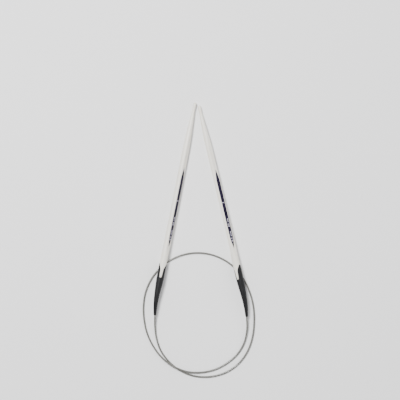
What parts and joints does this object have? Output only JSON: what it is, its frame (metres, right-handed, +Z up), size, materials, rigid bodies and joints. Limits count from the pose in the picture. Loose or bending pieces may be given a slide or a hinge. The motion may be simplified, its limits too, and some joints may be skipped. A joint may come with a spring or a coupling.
{
  "type": "circular knitting needle",
  "caption": "Circular knitting needle: two rigid three-sided needles with drop-shaped points, joined by a thin clear cord through flexible black sleeves.",
  "frame": {"origin": "on the table, in the middle of the box around the two needles with their sleeves", "axes": "+Z up from the table, +Y up the table in the direction in which the points face, +X to the right"},
  "size_m": [0.0696, 0.1707, 0.0065],
  "materials": {
    "needle": "satin cream polymer",
    "size_strip": "very dark purple print with light numerals",
    "sleeve": "soft satin black",
    "ferrule": "drawn tube, crimped",
    "cord": "clear smoke-grey polymer"
  },
  "bodies": {
    "cord_loop": {"cord": "cord", "left_sleeve_tail": "sleeve", "right_sleeve_tail": "sleeve"},
    "left_needle": {"left_needle": "needle", "left_size_strip": "size_strip", "left_sleeve": "sleeve", "left_ferrule": "ferrule", "left_cord_end": "cord"},
    "right_needle": {"right_needle": "needle", "right_size_strip": "size_strip", "right_sleeve": "sleeve", "right_ferrule": "ferrule", "right_cord_end": "cord"}
  },
  "joints": [
    {"name": "left_swing", "type": "hinge", "parent": "cord_loop", "child": "left_needle", "pos_m": [-0.02764, -0.05829, 0.00376], "axis": [0, 0, 1], "range_deg": [0, 70], "stiffness_Nm_per_rad": 0.0002, "deforming": ["left_sleeve_tail", "cord"]},
    {"name": "right_swing", "type": "hinge", "parent": "cord_loop", "child": "right_needle", "pos_m": [0.0274, -0.05922, 0.00376], "axis": [0, 0, 1], "range_deg": [-70, 0], "stiffness_Nm_per_rad": 0.0002, "deforming": ["right_sleeve_tail", "cord"]}
  ]
}
